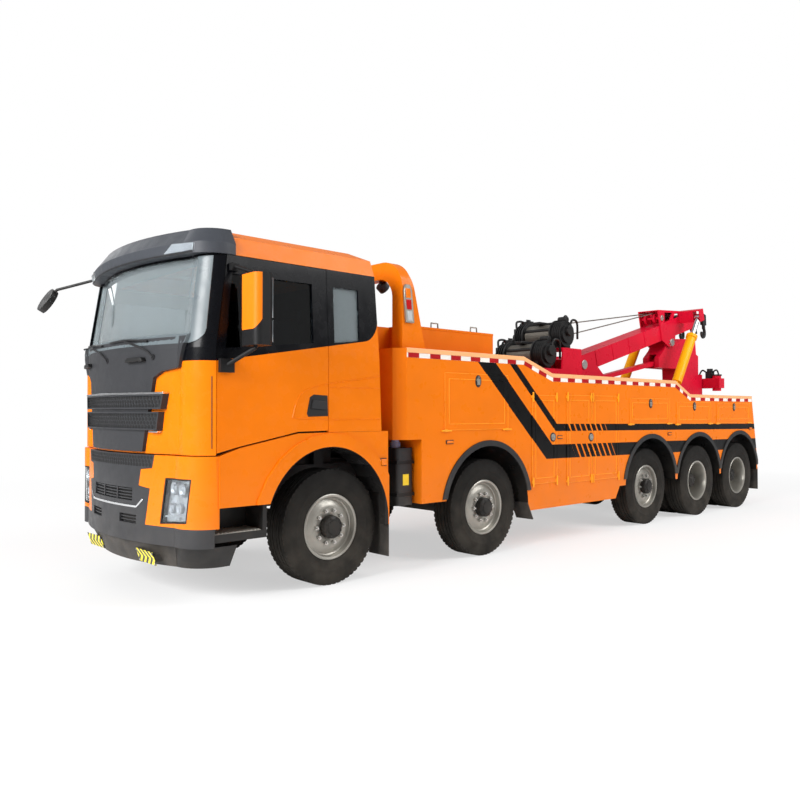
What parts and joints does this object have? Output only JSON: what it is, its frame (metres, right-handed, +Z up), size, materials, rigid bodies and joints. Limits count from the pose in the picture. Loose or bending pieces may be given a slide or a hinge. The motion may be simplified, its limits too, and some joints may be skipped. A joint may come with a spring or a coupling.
{
  "type": "heavy recovery truck",
  "caption": "Long multi-axle recovery truck with a flat-fronted cab, locker body, pivoting boom on lift cylinders, winches and a folded underlift with a crossbar.",
  "frame": {"origin": "centre of the bounding box's bottom face, on the ground", "axes": "+X forward, +Y to the driver's left, +Z up"},
  "size_m": [11.35, 3.2, 3.3986],
  "materials": {
    "orange_paint": "gloss",
    "dark_grey_trim": "matt",
    "black_trim": "matt",
    "chassis_black": "satin",
    "crimson_paint": "gloss",
    "yellow_paint": "gloss",
    "bright_rod": "polished",
    "winch_black": "satin",
    "silver_rim": "satin",
    "tyre_rubber": "matt",
    "clear_glass": "polished",
    "lamp_lens": "polished",
    "seat_cloth": "woven",
    "cast_axle": "satin"
  },
  "bodies": {
    "truck": {"chassis_frame": "chassis_black", "axles": "cast_axle", "leaf_springs": "chassis_black", "engine_gearbox": "cast_axle", "cab_front": "orange_paint", "cab_rear_shell": "orange_paint", "cab_roof": "orange_paint", "cab_windows": "clear_glass", "cab_floor": "black_trim", "cab_interior": "seat_cloth", "roof_visor": "dark_grey_trim", "front_trim": "dark_grey_trim", "cab_lower_panels": "orange_paint", "tool_cabinets": "orange_paint", "locker_doors": "orange_paint", "mudguards": "black_trim", "body_deck": "orange_paint", "lamp_arch": "orange_paint", "tanks": "black_trim", "boom_base": "crimson_paint", "winches": "winch_black", "lamps": "lamp_lens"},
    "steering_1_left": {"knuckle_1_left": "cast_axle"},
    "steering_2_left": {"knuckle_2_left": "cast_axle"},
    "wheel_1_left": {"tyre_1_left": "tyre_rubber", "rim_1_left": "silver_rim"},
    "wheel_2_left": {"tyre_2_left": "tyre_rubber", "rim_2_left": "silver_rim"},
    "wheel_3_left": {"tyre_3_left": "tyre_rubber", "rim_3_left": "silver_rim"},
    "wheel_4_left": {"tyre_4_left": "tyre_rubber", "rim_4_left": "silver_rim"},
    "wheel_5_left": {"tyre_5_left": "tyre_rubber", "rim_5_left": "silver_rim"},
    "door_left": {"door_left": "orange_paint", "door_glass_left": "clear_glass", "mirror_left": "black_trim"},
    "steering_1_right": {"knuckle_1_right": "cast_axle"},
    "steering_2_right": {"knuckle_2_right": "cast_axle"},
    "wheel_1_right": {"tyre_1_right": "tyre_rubber", "rim_1_right": "silver_rim"},
    "wheel_2_right": {"tyre_2_right": "tyre_rubber", "rim_2_right": "silver_rim"},
    "wheel_3_right": {"tyre_3_right": "tyre_rubber", "rim_3_right": "silver_rim"},
    "wheel_4_right": {"tyre_4_right": "tyre_rubber", "rim_4_right": "silver_rim"},
    "wheel_5_right": {"tyre_5_right": "tyre_rubber", "rim_5_right": "silver_rim"},
    "door_right": {"door_right": "orange_paint", "door_glass_right": "clear_glass", "mirror_right": "black_trim"},
    "boom": {"boom": "crimson_paint"},
    "boom_tip": {"boom_tip": "crimson_paint"},
    "lower_link": {"lower_link": "crimson_paint"},
    "lift_barrels": {"lift_barrels": "yellow_paint"},
    "lift_rods": {"lift_rods": "bright_rod"},
    "underlift_mast": {"underlift_mast": "crimson_paint"},
    "underlift_arm": {"underlift_arm": "crimson_paint"},
    "crossbar": {"crossbar": "crimson_paint"}
  },
  "joints": [
    {"name": "steer_1_left", "type": "hinge", "parent": "truck", "child": "steering_1_left", "pos_m": [3.925, 0.82, 0.53], "axis": [0, 0, 1], "range_deg": [-32, 32]},
    {"name": "steer_2_left", "type": "hinge", "parent": "truck", "child": "steering_2_left", "pos_m": [1.811, 0.82, 0.53], "axis": [0, 0, 1], "range_deg": [-22.4, 22.4]},
    {"name": "spin_1_left", "type": "hinge", "parent": "steering_1_left", "child": "wheel_1_left", "pos_m": [3.925, 1.005, 0.53], "axis": [0, 1, 0], "continuous": true},
    {"name": "spin_2_left", "type": "hinge", "parent": "steering_2_left", "child": "wheel_2_left", "pos_m": [1.811, 1.005, 0.53], "axis": [0, 1, 0], "continuous": true},
    {"name": "spin_3_left", "type": "hinge", "parent": "truck", "child": "wheel_3_left", "pos_m": [-1.639, 1.005, 0.53], "axis": [0, 1, 0], "continuous": true},
    {"name": "spin_4_left", "type": "hinge", "parent": "truck", "child": "wheel_4_left", "pos_m": [-3.053, 0.89, 0.53], "axis": [0, 1, 0], "continuous": true},
    {"name": "spin_5_left", "type": "hinge", "parent": "truck", "child": "wheel_5_left", "pos_m": [-4.451, 0.89, 0.53], "axis": [0, 1, 0], "continuous": true},
    {"name": "door_left_hinge", "type": "hinge", "parent": "truck", "child": "door_left", "pos_m": [5.152, 1.25, 1.9], "axis": [0, 0, -1], "range_deg": [0, 70]},
    {"name": "steer_1_right", "type": "hinge", "parent": "truck", "child": "steering_1_right", "pos_m": [3.925, -0.82, 0.53], "axis": [0, 0, 1], "range_deg": [-32, 32]},
    {"name": "steer_2_right", "type": "hinge", "parent": "truck", "child": "steering_2_right", "pos_m": [1.811, -0.82, 0.53], "axis": [0, 0, 1], "range_deg": [-22.4, 22.4]},
    {"name": "spin_1_right", "type": "hinge", "parent": "steering_1_right", "child": "wheel_1_right", "pos_m": [3.925, -1.005, 0.53], "axis": [0, 1, 0], "continuous": true},
    {"name": "spin_2_right", "type": "hinge", "parent": "steering_2_right", "child": "wheel_2_right", "pos_m": [1.811, -1.005, 0.53], "axis": [0, 1, 0], "continuous": true},
    {"name": "spin_3_right", "type": "hinge", "parent": "truck", "child": "wheel_3_right", "pos_m": [-1.639, -1.005, 0.53], "axis": [0, 1, 0], "continuous": true},
    {"name": "spin_4_right", "type": "hinge", "parent": "truck", "child": "wheel_4_right", "pos_m": [-3.053, -0.89, 0.53], "axis": [0, 1, 0], "continuous": true},
    {"name": "spin_5_right", "type": "hinge", "parent": "truck", "child": "wheel_5_right", "pos_m": [-4.451, -0.89, 0.53], "axis": [0, 1, 0], "continuous": true},
    {"name": "door_right_hinge", "type": "hinge", "parent": "truck", "child": "door_right", "pos_m": [5.152, -1.25, 1.9], "axis": [0, 0, 1], "range_deg": [0, 70]},
    {"name": "boom_lift", "type": "hinge", "parent": "truck", "child": "boom", "pos_m": [-1.475, 0, 2.28], "axis": [0, 1, 0], "range_deg": [-5, 20]},
    {"name": "mast_level", "type": "hinge", "parent": "boom", "child": "underlift_mast", "pos_m": [-4.18824, 0, 2.77925], "axis": [0, 1, 0], "range_deg": [-20, 5]},
    {"name": "link_swing", "type": "hinge", "parent": "truck", "child": "lower_link", "pos_m": [-1.26176, 0, 1.93075], "axis": [0, 1, 0], "range_deg": [-5, 20]},
    {"name": "cylinder_swing", "type": "hinge", "parent": "truck", "child": "lift_barrels", "pos_m": [-3.675, 0, 1.95], "axis": [0, 1, 0], "range_deg": [-6.6, 26.4]},
    {"name": "rod_stroke", "type": "slide", "parent": "lift_barrels", "child": "lift_rods", "axis": [-0.5563, 0, 0.831], "range_m": [-0.1855, 0.7405]},
    {"name": "boom_extend", "type": "slide", "parent": "boom", "child": "boom_tip", "axis": [-0.9659, 0, 0.2588], "range_m": [0, 1.2]},
    {"name": "underlift_fold", "type": "hinge", "parent": "underlift_mast", "child": "underlift_arm", "pos_m": [-5.375, 0, 0.85], "axis": [0, -1, 0], "range_deg": [0, 90]},
    {"name": "crossbar_swivel", "type": "hinge", "parent": "underlift_arm", "child": "crossbar", "pos_m": [-5.575, 0, 2.1], "axis": [1, 0, 0], "range_deg": [-25, 25]}
  ],
  "couplings": [
    {"joint": "steer_2_left", "follows": "steer_1_left", "ratio": 0.7},
    {"joint": "steer_1_right", "follows": "steer_1_left", "ratio": 1},
    {"joint": "steer_2_right", "follows": "steer_1_left", "ratio": 0.7},
    {"joint": "mast_level", "follows": "boom_lift", "ratio": -1},
    {"joint": "link_swing", "follows": "boom_lift", "ratio": 1},
    {"joint": "cylinder_swing", "follows": "boom_lift", "ratio": 1.32},
    {"joint": "rod_stroke", "follows": "boom_lift", "m_per_rad": 2.12}
  ]
}
